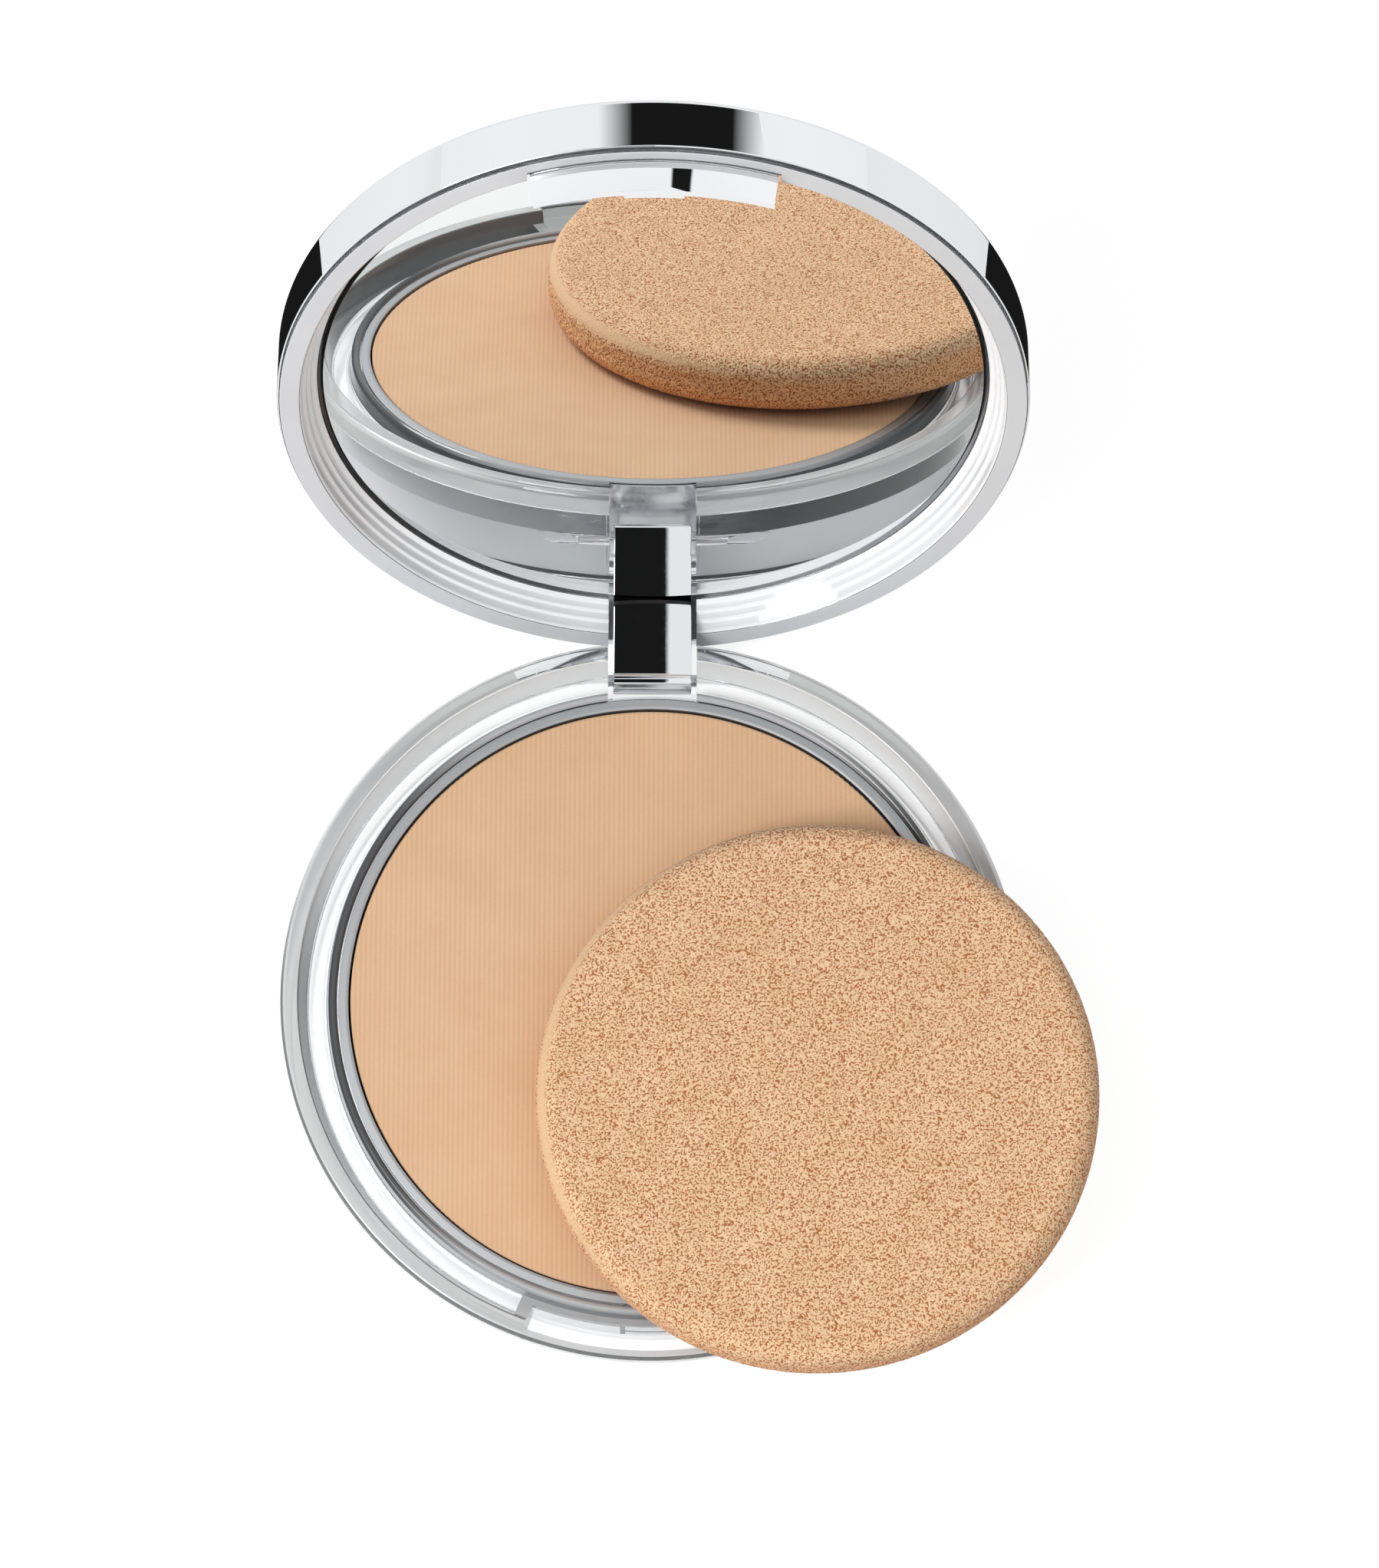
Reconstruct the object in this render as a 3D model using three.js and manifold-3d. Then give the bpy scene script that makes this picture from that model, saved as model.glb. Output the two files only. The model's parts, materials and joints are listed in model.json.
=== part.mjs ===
// Round powder compact, open, with its sponge: clear base with a powder pan, mirror lid on a rear hinge.
// Millimetres, +Z up. The origin is the middle of the base's underside, -Y is the front, the hinge is at +Y.
import * as THREE from 'three';
import { mergeVertices } from 'three/addons/utils/BufferGeometryUtils.js';
import Module from 'manifold-3d';

const wasm = await Module();
wasm.setup();

// Driving dimensions
const OUTER_R = 36;            // radius of the lid, and the reach of every cutter
const BASE_H = 12.65;          // base rim above the table
const LID_Z = 12.85;           // lid rim when closed
const LID_H = 6.85;            // lid rim to the edge of its back
const OPEN_ANGLE = 112.3;      // lid opening at rest, degrees
const PIN_Y = 33.55;           // hinge axis
const PIN_Z = 6.9;
const GAP = 0.25;              // gap between neighbouring pieces
const SEGMENTS = 72;

// Base
const BASE_R = 35.85;          // largest radius of the base
const BORE_R = 30.4;           // inside of the clear ring
const LIP_TOP = BASE_H - 0.9;  // rounded lip next to the powder
const GROOVE_IN = 31.4;
const GROOVE_OUT = 33.3;
const GROOVE_Z = BASE_H - 3;
const RIM_IN = 34.1;           // inner edge of the flat rim
const FOOT_R = 32.7;           // outer edge of the foot
const WAIST_Z = 4;             // height where the side starts to turn under
const WAIST_R = 34.3;
const COVER_R = 31.4;
const COVER_T = 0.9;
const LABEL_R = 22;
const LABEL_T = 0.12;
const POWDER_Z = 11.2;
const POWDER_R = 29.2;
const PAN_FLOOR_Z = 5.9;       // underside of the pan
const PAN_T = 0.25;
const TRAY_T = 0.45;
const TRAY_WEB_Z = 4.8;

// Front latch
const TAB_HALF_W = 11.5;       // at the lid rim
const TAB_TIP_HALF_W = 11.1;
const TAB_OUT_R = 34.7;
const TAB_IN_R = 33.5;
const TAB_DROP = 3.35;
const TAB_ROOT = 1.5;          // how far the tab is let into the lid ring
const POCKET_HALF_W = 11.9;
const POCKET_Z = 7.2;
const POCKET_OUT_R = 35;
const WALL_OUT_R = 32.3;       // low wall between groove and pocket
const WALL_T = 0.6;
const WALL_TOP = 11.3;
const CATCH_HALF_W = 2.8;

// Hinge
const SLOT_HALF_W = 4.35;
const SLOT_FLOOR_Z = 3;
const STRAP_HALF_W = 3.85;
const KNUCKLE_R = 1.35;
const STRAP_OUT_Y = 35.35;
const PIN_R = 0.58;
const BORE_CLEARANCE = 0.08;
const PIN_REACH = 7.6;         // outer end of each pin
const PIN_MIDDLE_GAP = 0.4;

// Lid
const MIRROR_R = 31.9;
const MIRROR_Z = LID_Z + 3.35;
const MIRROR_T = 1.8;
const SHELL_T = 0.8;
const BACK_DOME = 0.4;
const SHELL_LIP = 0.4;         // clear lip under the shell's edge

// Sponge
const SPONGE_R = 27;
const SPONGE_T = 5.9;
const SPONGE_EDGE = 2.2;
const SPONGE_POS = [15.94, -10.77, 15.62];
const SPONGE_PITCH = -1.8;     // degrees about X
const SPONGE_ROLL = -2.6;      // degrees about Y

const STEEL = { color: 0xb9bbbd, roughness: 0.25, metalness: 1 };
const CHROME = { color: 0xf2f3f5, roughness: 0.05, metalness: 1 };
const CLEAR = { color: 0xf4f7f8, roughness: 0.03, metalness: 0, transparent: true, opacity: 0.35 };
const SILVER = { color: 0xd6d8da, roughness: 0.22, metalness: 1 };
const ALUMINIUM = { color: 0xc4c6c8, roughness: 0.3, metalness: 1 };
const POWDER = { color: 0xd6af8a, roughness: 0.95, metalness: 0 };
const FOAM = { color: 0xdcb48c, roughness: 0.98, metalness: 0 };
const GLUE = { color: 0xe9e6dc, roughness: 0.7, metalness: 0 };
const GREY_PLASTIC = { color: 0xc9cbcd, roughness: 0.4, metalness: 0 };
const PAPER = { color: 0xf4f4f2, roughness: 0.6, metalness: 0 };
const GLASS = { color: 0xeef2f3, roughness: 0.02, metalness: 1 };

const radians = THREE.MathUtils.degToRad;

// Points of an arc, from angle a to angle b in degrees, as [x, y] pairs.
function arc(cx, cy, radius, a, b, steps) {
  const points = [];
  for (let i = 0; i <= steps; i += 1) {
    const t = radians(a + ((b - a) * i) / steps);
    points.push([cx + radius * Math.cos(t), cy + radius * Math.sin(t)]);
  }
  return points;
}

// Solid of revolution about +Z. The profile lists [radius, z] pairs, anticlockwise with radius to the right.
function turned(profile, segments = SEGMENTS) {
  const points = profile.map(([r, z]) => new THREE.Vector2(r, z));
  const onAxis = profile[0][0] === 0;
  if (!onAxis) {
    points.push(points[0].clone());
  }
  return new THREE.LatheGeometry(points, segments).rotateX(Math.PI / 2);
}

// Plain disc or washer between two heights.
function washer(inner, outer, low, high, segments = SEGMENTS) {
  return turned([[inner, low], [outer, low], [outer, high], [inner, high]], segments);
}

function block(x0, x1, y0, y1, z0, z1) {
  const box = new THREE.BoxGeometry(x1 - x0, y1 - y0, z1 - z0);
  return box.translate((x0 + x1) / 2, (y0 + y1) / 2, (z0 + z1) / 2);
}

// Outline in the X-Z plane, extruded along Y from y0 to y1.
function plate(outline, y0, y1) {
  const shape = new THREE.Shape(outline.map(([x, z]) => new THREE.Vector2(x, z)));
  const solid = new THREE.ExtrudeGeometry(shape, { depth: y1 - y0, bevelEnabled: false });
  return solid.rotateX(Math.PI / 2).translate(0, y1, 0);
}

// Outline in the Y-Z plane, extruded along X, centred on X = 0.
function rib(outline, halfWidth) {
  const shape = new THREE.Shape(outline.map(([y, z]) => new THREE.Vector2(y, z)));
  const solid = new THREE.ExtrudeGeometry(shape, { depth: 2 * halfWidth, bevelEnabled: false });
  return solid.applyMatrix4(new THREE.Matrix4().set(0, 0, 1, -halfWidth, 1, 0, 0, 0, 0, 1, 0, 0, 0, 0, 0, 1));
}

// Round bar along X on the hinge axis.
function hingeBar(radius, x0, x1, sides = 20) {
  const bar = new THREE.CylinderGeometry(radius, radius, x1 - x0, sides);
  return bar.rotateZ(Math.PI / 2).translate((x0 + x1) / 2, PIN_Y, PIN_Z);
}

function toSolid(geometry) {
  const bare = geometry.clone();
  bare.deleteAttribute('normal');
  bare.deleteAttribute('uv');
  const merged = mergeVertices(bare, 1e-5);
  const triVerts = dropFlatTriangles(merged);
  return new wasm.Manifold(new wasm.Mesh({
    numProp: 3,
    vertProperties: new Float32Array(merged.attributes.position.array),
    triVerts,
  }));
}

// Triangles with two equal corners appear where a profile touches the axis.
function dropFlatTriangles(geometry) {
  const index = geometry.index.array;
  const kept = [];
  for (let i = 0; i < index.length; i += 3) {
    const [a, b, c] = [index[i], index[i + 1], index[i + 2]];
    if (a !== b && b !== c && c !== a) {
      kept.push(a, b, c);
    }
  }
  return new Uint32Array(kept);
}

function toGeometry(solid) {
  const mesh = solid.getMesh();
  const geometry = new THREE.BufferGeometry();
  geometry.setAttribute('position', new THREE.BufferAttribute(mesh.vertProperties.slice(), 3));
  geometry.setIndex(new THREE.BufferAttribute(mesh.triVerts.slice(), 1));
  return geometry;
}

function cut(geometry, cutters) {
  return cutters.reduce((rest, cutter) => rest.subtract(toSolid(cutter)), toSolid(geometry));
}

function piece(name, geometry, finish) {
  const mesh = new THREE.Mesh(geometry, new THREE.MeshStandardMaterial(finish));
  mesh.name = name;
  return mesh;
}

// Front half of a washer, cut off at X = +-halfWidth.
function frontArc(inner, outer, low, high, halfWidth) {
  const keep = block(-halfWidth, halfWidth, -OUTER_R - 1, 0, low - 1, high + 1);
  return toSolid(washer(inner, outer, low, high)).intersect(toSolid(keep));
}

// ---------------------------------------------------------------- base

// Section of the clear ring: side that tapers and turns under, flat rim, drafted groove, rounded lip, straight bore.
function baseRingProfile() {
  const seatTop = COVER_T + 2 * GAP;
  const turnUnder = new THREE.QuadraticBezierCurve(
    new THREE.Vector2(FOOT_R, 0),
    new THREE.Vector2(WAIST_R - 0.5, 0.3),
    new THREE.Vector2(WAIST_R, WAIST_Z),
  ).getPoints(4).map((p) => [p.x, p.y]);
  return [
    [BORE_R, seatTop],
    [COVER_R + GAP, seatTop],
    [COVER_R + GAP, 0],
    ...turnUnder,
    [BASE_R - 0.35, BASE_H - 3.2],
    [BASE_R, BASE_H - 1.5],
    [BASE_R, BASE_H - 0.4],
    [BASE_R - 0.3, BASE_H],
    [RIM_IN, BASE_H],
    [GROOVE_OUT, GROOVE_Z + 0.2],
    [GROOVE_OUT - 0.2, GROOVE_Z],
    [GROOVE_IN + 0.3, GROOVE_Z],
    [GROOVE_IN, GROOVE_Z + 0.4],
    [GROOVE_IN - 0.15, LIP_TOP - 0.4],
    [GROOVE_IN - 0.5, LIP_TOP],
    [BORE_R, LIP_TOP - 0.3],
  ];
}

function latchPocketWall() {
  const wall = frontArc(WALL_OUT_R - WALL_T, WALL_OUT_R, GROOVE_Z - 0.5, WALL_TOP, POCKET_HALF_W + 1);
  const ends = [-1, 1].map((side) => {
    const inner = side * POCKET_HALF_W;
    const outer = side * (POCKET_HALF_W + 1);
    const bar = block(Math.min(inner, outer), Math.max(inner, outer), -OUTER_R, 0, GROOVE_Z - 0.5, WALL_TOP);
    return toSolid(bar).intersect(toSolid(washer(WALL_OUT_R - WALL_T, RIM_IN, GROOVE_Z - 1, WALL_TOP + 1)));
  });
  const ridge = frontArc(WALL_OUT_R - 0.1, WALL_OUT_R + 0.45, WALL_TOP - 0.9, WALL_TOP - 0.25, CATCH_HALF_W);
  return ends.reduce((sum, end) => sum.add(end), wall).add(ridge);
}

function makeBaseRing() {
  const pocket = frontArc(WALL_OUT_R, POCKET_OUT_R, POCKET_Z, BASE_H + 1, POCKET_HALF_W);
  const slot = block(-SLOT_HALF_W, SLOT_HALF_W, BORE_R - 2, OUTER_R + 2, SLOT_FLOOR_Z, BASE_H + 1);
  const bores = hingeBar(PIN_R + BORE_CLEARANCE, -OUTER_R, OUTER_R);
  const body = toSolid(turned(baseRingProfile())).subtract(pocket).add(latchPocketWall());
  return piece('base_ring', toGeometry(body.subtract(toSolid(slot)).subtract(toSolid(bores))), CLEAR);
}

function makeInnerTray() {
  const outer = BORE_R - GAP;
  const inner = outer - TRAY_T;
  const top = POWDER_Z - 0.2;
  const foot = COVER_T + 3 * GAP;
  const webTop = TRAY_WEB_Z + TRAY_T;
  const profile = [
    [0, TRAY_WEB_Z], [inner, TRAY_WEB_Z], [inner, foot], [outer, foot],
    [outer, top], [inner, top], [inner, webTop], [0, webTop],
  ];
  return piece('inner_tray', turned(profile), SILVER);
}

function makePanAdhesive() {
  const low = TRAY_WEB_Z + TRAY_T + 0.1;
  return piece('pan_adhesive', turned([[0, low], [24, low], [24, PAN_FLOOR_Z - 0.1], [0, PAN_FLOOR_Z - 0.1]]), GLUE);
}

// Drawn aluminium pan: floor, wall and a flange that rests over the tray's wall.
function makePowderPan() {
  const inner = POWDER_R + 0.08;
  const outer = inner + PAN_T;
  const flangeR = BORE_R - 0.15;
  const flangeZ = POWDER_Z + 0.05;
  const profile = [
    [0, PAN_FLOOR_Z], [outer, PAN_FLOOR_Z], [outer, flangeZ - 0.1], [flangeR, flangeZ - 0.1],
    [flangeR, flangeZ + 0.05], [outer, flangeZ + 0.15], [inner, flangeZ + 0.1],
    [inner, PAN_FLOOR_Z + PAN_T], [0, PAN_FLOOR_Z + PAN_T],
  ];
  return piece('powder_pan', turned(profile), ALUMINIUM);
}

function makePowderCake() {
  const low = PAN_FLOOR_Z + PAN_T + 0.05;
  const profile = [
    [0, low], [POWDER_R, low], [POWDER_R, POWDER_Z - 0.15], [POWDER_R - 0.2, POWDER_Z], [0, POWDER_Z],
  ];
  return piece('powder_cake', turned(profile), POWDER);
}

function makeBaseCover() {
  const low = LABEL_T + 0.08;
  const profile = [[0, low], [LABEL_R + GAP, low], [LABEL_R + GAP, 0], [COVER_R, 0], [COVER_R, COVER_T], [0, COVER_T]];
  return piece('base_cover', turned(profile), GREY_PLASTIC);
}

function makeBottomLabel() {
  return piece('bottom_label', turned([[0, 0], [LABEL_R, 0], [LABEL_R, LABEL_T], [0, LABEL_T]], 48), PAPER);
}

function makeHingePin(side) {
  const [x0, x1] = [PIN_MIDDLE_GAP, PIN_REACH].map((x) => side * x).sort((a, b) => a - b);
  return piece(side < 0 ? 'hinge_pin_left' : 'hinge_pin_right', hingeBar(PIN_R, x0, x1), STEEL);
}

// ---------------------------------------------------------------- lid, drawn closed

function makeHingeStrap() {
  const inY = PIN_Y - KNUCKLE_R;
  const top = LID_Z + LID_H - SHELL_T - 0.35;
  const neck = TAB_OUT_R - 0.1;
  const outline = [
    [inY, top],
    ...arc(PIN_Y, PIN_Z, KNUCKLE_R, 180, 330, 10),
    [STRAP_OUT_Y, PIN_Z + 1.4],
    [STRAP_OUT_Y, LID_Z - 0.1],
    [neck, LID_Z + 0.4],
    [neck, top],
  ];
  const body = cut(rib(outline, STRAP_HALF_W), [hingeBar(PIN_R + BORE_CLEARANCE + 0.02, -OUTER_R, OUTER_R)]);
  return piece('hinge_strap', toGeometry(body), CHROME);
}

// Cup-shaped shell: slightly domed back and a straight wall.
function makeLidShell() {
  const back = LID_Z + LID_H;
  const innerR = OUTER_R - SHELL_T;
  const lipZ = LID_Z + SHELL_LIP + 0.1;
  const profile = [
    [0, back - SHELL_T],
    [innerR, back - SHELL_T],
    [innerR, lipZ],
    [OUTER_R, lipZ],
    ...arc(OUTER_R - 0.9, back - 0.9, 0.9, 0, 90, 4),
    [OUTER_R * 0.6, back + BACK_DOME * 0.64],
    [OUTER_R * 0.3, back + BACK_DOME * 0.91],
    [0, back + BACK_DOME],
  ];
  return piece('lid_shell', turned(profile), CHROME);
}

function tabBlank(inner, outer, low, high, grow) {
  const top = TAB_HALF_W + grow;
  const tip = TAB_TIP_HALF_W + grow;
  const outline = [[-tip, low], [tip, low], [top, LID_Z], [top, high], [-top, high], [-top, LID_Z]];
  return toSolid(plate(outline, -OUTER_R, 0)).intersect(toSolid(washer(inner, outer, low, high)));
}

function makeLidRing() {
  const outer = OUTER_R - SHELL_T - GAP;
  const inner = MIRROR_R + GAP;
  const top = LID_Z + LID_H - SHELL_T - GAP;
  const lipTop = LID_Z + SHELL_LIP - 0.15;
  const profile = [
    [inner, MIRROR_Z - 0.1], [GROOVE_OUT - 0.1, MIRROR_Z - 0.7], [33.85, LID_Z], [OUTER_R - 0.3, LID_Z],
    [OUTER_R - 0.15, lipTop], [outer, lipTop], [outer, top], [inner, top],
  ];
  const slot = block(-SLOT_HALF_W, SLOT_HALF_W, MIRROR_R - 2, OUTER_R + 2, LID_Z - 1, LID_Z + LID_H);
  const socket = tabBlank(TAB_IN_R - GAP, TAB_OUT_R + 0.1, LID_Z - 1, LID_Z + TAB_ROOT + GAP, GAP);
  const body = toSolid(turned(profile)).subtract(toSolid(slot)).subtract(socket);
  return piece('lid_ring', toGeometry(body), CLEAR);
}

function makeMirror() {
  const back = MIRROR_Z + MIRROR_T;
  const profile = [
    [0, MIRROR_Z], [MIRROR_R - 0.25, MIRROR_Z], [MIRROR_R, MIRROR_Z + 0.25], [MIRROR_R, back], [0, back],
  ];
  return piece('mirror', turned(profile), GLASS);
}

function makeMirrorAdhesive() {
  const low = MIRROR_Z + MIRROR_T + 0.1;
  const high = LID_Z + LID_H - SHELL_T - 0.1;
  return piece('mirror_adhesive', turned([[0, low], [27, low], [27, high], [0, high]]), GLUE);
}

// Curved tab with a small hook in the middle of its inner face.
function makeLatchTab() {
  const tip = LID_Z - TAB_DROP;
  const body = tabBlank(TAB_IN_R, TAB_OUT_R - 0.1, tip, LID_Z + TAB_ROOT, 0);
  const hook = frontArc(TAB_IN_R - 0.4, TAB_IN_R + 0.1, tip, tip + 0.6, CATCH_HALF_W);
  return piece('latch_tab', toGeometry(body.add(hook)), CHROME);
}

// ---------------------------------------------------------------- sponge

function makeSponge() {
  const half = SPONGE_T / 2;
  const edgeR = SPONGE_R - SPONGE_EDGE;
  const profile = [
    [0, -half],
    ...arc(edgeR, -half + SPONGE_EDGE, SPONGE_EDGE, -90, 0, 4),
    ...arc(edgeR, half - SPONGE_EDGE, SPONGE_EDGE, 0, 90, 4),
    [0, half],
  ];
  const mesh = piece('sponge', turned(profile, 48), FOAM);
  mesh.position.set(...SPONGE_POS);
  mesh.rotation.set(radians(SPONGE_PITCH), radians(SPONGE_ROLL), 0);
  return mesh;
}

// ---------------------------------------------------------------- assembly

const base = new THREE.Group();
base.add(
  makeBaseRing(),
  makeInnerTray(),
  makePanAdhesive(),
  makePowderPan(),
  makePowderCake(),
  makeBaseCover(),
  makeBottomLabel(),
  makeHingePin(-1),
  makeHingePin(1),
);

// The lid group turns about the hinge axis; its children keep their closed coordinates.
const lidParts = new THREE.Group();
lidParts.position.set(0, -PIN_Y, -PIN_Z);
lidParts.add(
  makeHingeStrap(),
  makeLidShell(),
  makeLidRing(),
  makeMirror(),
  makeMirrorAdhesive(),
  makeLatchTab(),
);
const lid = new THREE.Group();
lid.position.set(0, PIN_Y, PIN_Z);
lid.rotation.x = -radians(OPEN_ANGLE);
lid.add(lidParts);

const compact = new THREE.Group();
compact.add(base, lid, makeSponge());

export default compact;
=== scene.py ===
"""Powder compact: fine meshes, materials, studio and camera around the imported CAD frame."""
import json
import math

import bmesh
import bpy
import numpy as np
from mathutils import Matrix, Vector, noise


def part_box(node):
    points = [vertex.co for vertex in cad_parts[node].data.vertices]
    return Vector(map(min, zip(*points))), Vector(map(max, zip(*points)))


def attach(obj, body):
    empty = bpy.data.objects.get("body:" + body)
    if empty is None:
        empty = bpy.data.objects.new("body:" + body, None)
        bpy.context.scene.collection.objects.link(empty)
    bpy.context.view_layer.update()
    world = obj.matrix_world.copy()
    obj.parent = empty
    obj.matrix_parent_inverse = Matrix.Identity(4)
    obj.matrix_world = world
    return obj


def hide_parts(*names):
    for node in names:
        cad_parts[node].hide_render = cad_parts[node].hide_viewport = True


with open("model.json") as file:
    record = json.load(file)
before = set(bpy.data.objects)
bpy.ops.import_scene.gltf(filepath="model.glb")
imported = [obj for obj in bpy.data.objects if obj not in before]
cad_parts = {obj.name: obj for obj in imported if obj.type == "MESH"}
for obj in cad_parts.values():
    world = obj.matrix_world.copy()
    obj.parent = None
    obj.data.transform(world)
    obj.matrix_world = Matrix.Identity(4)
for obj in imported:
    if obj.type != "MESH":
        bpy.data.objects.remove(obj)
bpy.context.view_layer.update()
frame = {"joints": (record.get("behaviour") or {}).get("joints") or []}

# ------------------------------------------------------------------ dimensions, in millimetres
MM = 0.001
HINGE = next(j for j in frame["joints"] if j["name"] == "lid_hinge")
PIN_Y, PIN_Z = (c / MM for c in HINGE["pos_m"][1:])
OPEN_ANGLE = math.radians(max(HINGE["range_deg"]))

LID_R = 36.0
LID_Z = 12.85
LID_BACK = 19.7
BACK_DOME = 0.4
SHELL_T = 0.8
GAP = 0.25
MIRROR_R = 31.9
MIRROR_Z = LID_Z + 3.35
MIRROR_T = 1.8

BASE_R = 35.85
BASE_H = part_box("base_ring")[1].z / MM
FOOT_R = 32.7
WAIST_R, WAIST_Z = 34.3, 4.0
BORE_R = 30.4
LIP_TOP = BASE_H - 0.9
GROOVE_IN, GROOVE_OUT = 31.4, 33.3
GROOVE_Z = BASE_H - 3
# Painted reflection: above BAND_Z the tray's wall carries a painted dark band, behind the middle.
BAND_Z = 6.4                     # the tray's wall turns dark above this, behind the middle
RIM_IN = 34.1
# outer wall up to the rim: inset from BASE_R and depth below BASE_H
SHOULDER = [(0.35, 3.2), (0.0, 1.5), (0.0, 0.4), (0.3, 0.0)]
COVER_R, COVER_T = 31.4, 0.9
LABEL_R, LABEL_T = 22.0, 0.12

POWDER_R = 29.1
POWDER_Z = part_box("powder_cake")[1].z / MM
RIB_PITCH = 0.48
RIB_DEPTH = 0.022
RIB_POINTS = 6                   # points across one rib
CAKE_ROWS = 24                   # points along a rib
CAKE_EDGE_W, CAKE_EDGE_DROP = 0.25, 0.15
PAN_FLOOR_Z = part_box("powder_pan")[0].z / MM
PAN_T = 0.25
TRAY_T = 0.45
TRAY_WEB_Z = 4.8
PAN_GLUE_R, MIRROR_GLUE_R = 24, 27

SLOT_HALF_W = 4.35
SLOT_FLOOR_Z = 3.0
STRAP_HALF_W = 3.85
KNUCKLE_R = 1.35
STRAP_OUT_Y = 35.35
PIN_R = 0.58
BORE_CLEARANCE = 0.08
KNUCKLE_CLEARANCE = 0.1
PIN_CHAMFER = 0.12
PIN_INNER, PIN_REACH = 0.4, 7.6

TAB_OUT_R, TAB_IN_R = 34.6, 33.5
TAB_HALF_W, TAB_TIP_HALF_W = 11.5, 11.1
TAB_DROP, TAB_ROOT = 3.35, 1.5
TAB_DRAFT = 0.5                  # how far the tab's face leans in at its tip
FRONT = -90                      # the latch's direction, in degrees
POCKET_HALF_W = 11.9
POCKET_BAR_W = 1.3               # wall left standing at each end of the pocket
POCKET_Z = 7.2
POCKET_OUT_R = 35.0
WALL_OUT_R, WALL_T, WALL_TOP = 32.3, 0.6, 11.3
CATCH_HALF_W = 2.8
CATCH_REACH, CATCH_LOW, CATCH_HIGH = 0.45, WALL_TOP - 0.9, WALL_TOP - 0.25
HOOK_REACH, HOOK_LOW, HOOK_HIGH = 0.4, 0.03, 0.6
HOOK_ROOT = 0.1                  # how deep the hook and the catch sink into their walls
# light funnel between the lid's rim and the mirror: radius and depth below MIRROR_Z
FUNNEL = [(32.75, 0.4), (32.85, 1.1), (33.15, 1.2), (33.25, 2.0), (33.55, 2.1)]
FUNNEL_OUT_R = 33.85

SPONGE_R, SPONGE_T, SPONGE_EDGE = 27.0, 5.9, 2.2
SPONGE_CENTRE = (15.94, -10.77, 15.62)
MOULDED_SIDE = (-0.98, 0.2, 0.0)  # the side of the edge that kept its smooth moulded skin
SKIN_STEPS = 6                   # points per millimetre of the sponge's skin
PORE_DEPTH, SKIN_GRAIN = 0.12, 0.03
PORE_SCALE, FINE_PORE_SCALE = 3.7, 6.1   # pores per millimetre, roughly
SPONGE_PITCH, SPONGE_ROLL = math.radians(-1.8), math.radians(-2.6)

ROUND, FINE_ROUND, SMALL_ROUND = 256, 360, 128   # sides of a turned piece
WELD = 0.004                     # points closer than this are merged after a cut
ON_AXIS = 1e-6                   # a radius that counts as a point on the axis

# where shades painted by position fade, in metres
REAR_FADE = (0.0, 0.02)          # along Y
LIP_TOP_FADE = (0.014, 0.026)    # away from the middle along X
DARK_REAR_FADE = (0.0, 0.012)    # along Y
DARK_SIDE_FADE = (-0.03, 0.015)  # along X

# studio: places in metres, cards in millimetres, brightness from 0 to 1
CAMERA_TARGET = (0.003762, 0.027195, -0.007391)
CAMERA_DISTANCE = 0.768459
CAMERA_ELEVATION, CAMERA_AZIMUTH, CAMERA_ROLL = (math.radians(a) for a in (73.577, -1.066, 1.223))
CAMERA_LENS, CAMERA_SENSOR = 176.35, 36
KEY_PLACE, KEY_TARGET = (-0.6, -0.32, 0.8), (0, 0.02, 0)
KEY_SIZE, KEY_POWER = 0.5, 7.6
FLOOR_REACH = 3
FLOOR_GLOW = 0.84
FLOOR_GLOW_ON_MATT = 0.1
# floor by distance from the middle, through clear plastic and in reflections
TABLE_STOPS = [(0.0335, 0.93), (0.037, 0.4), (0.05, 0.03)]
MIRRORED_STOPS = [(0.08, 0.58), (0.25, 0.6)]
# world by height, in reflections and through clear plastic
ROOM_STOPS = [(0.0, 0.97), (0.2, 1.0), (0.5, 0.97), (0.8, 0.86), (1.0, 0.88)]
SIDE_STOPS = [(0.0, 0.05), (0.3, 0.1), (0.5, 0.7), (1.0, 0.8)]
# world from front to rear, through clear plastic and on matt surfaces
REAR_STOPS = [(0.55, 0.0), (0.8, 1.0)]
REAR_GLOW = 0.85
SKY_STOPS = [(0.0, 0.88), (0.5, 0.68), (1.0, 0.62)]
CARD_BLACK = 0.01
# black cards: name, extent along X, Y and Z, share of the width that fades at each end
CARDS = [
    ("card_rear", (-130, 262), (600, 600), (250, 405), 0.2),
    ("card_rear_stem", (50, 120), (600, 600), (405, 500), 0.12),
    ("card_camera", (-250, 4), (-420, 20), (760, 760), 0.0001),
    ("card_above", (-140, 10), (100, 340), (760, 760), 0.1),
    ("card_floor_left", (-105, -30), (50, 98), (1, 1), 0.15),
    ("card_floor_right", (30, 105), (50, 98), (1, 1), 0.15),
]

LID_TO_OPEN = (
    Matrix.Translation(Vector((0, PIN_Y, PIN_Z)))
    @ Matrix.Rotation(-OPEN_ANGLE, 4, "X")
    @ Matrix.Translation(Vector((0, -PIN_Y, -PIN_Z)))
)


# ------------------------------------------------------------------ mesh tools
def arc(cx, cy, radius, start, end, steps):
    """Points of an arc in a section plane, angles in degrees."""
    angles = np.radians(np.linspace(start, end, steps + 1))
    return [(cx + radius * math.cos(a), cy + radius * math.sin(a)) for a in angles]


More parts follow.
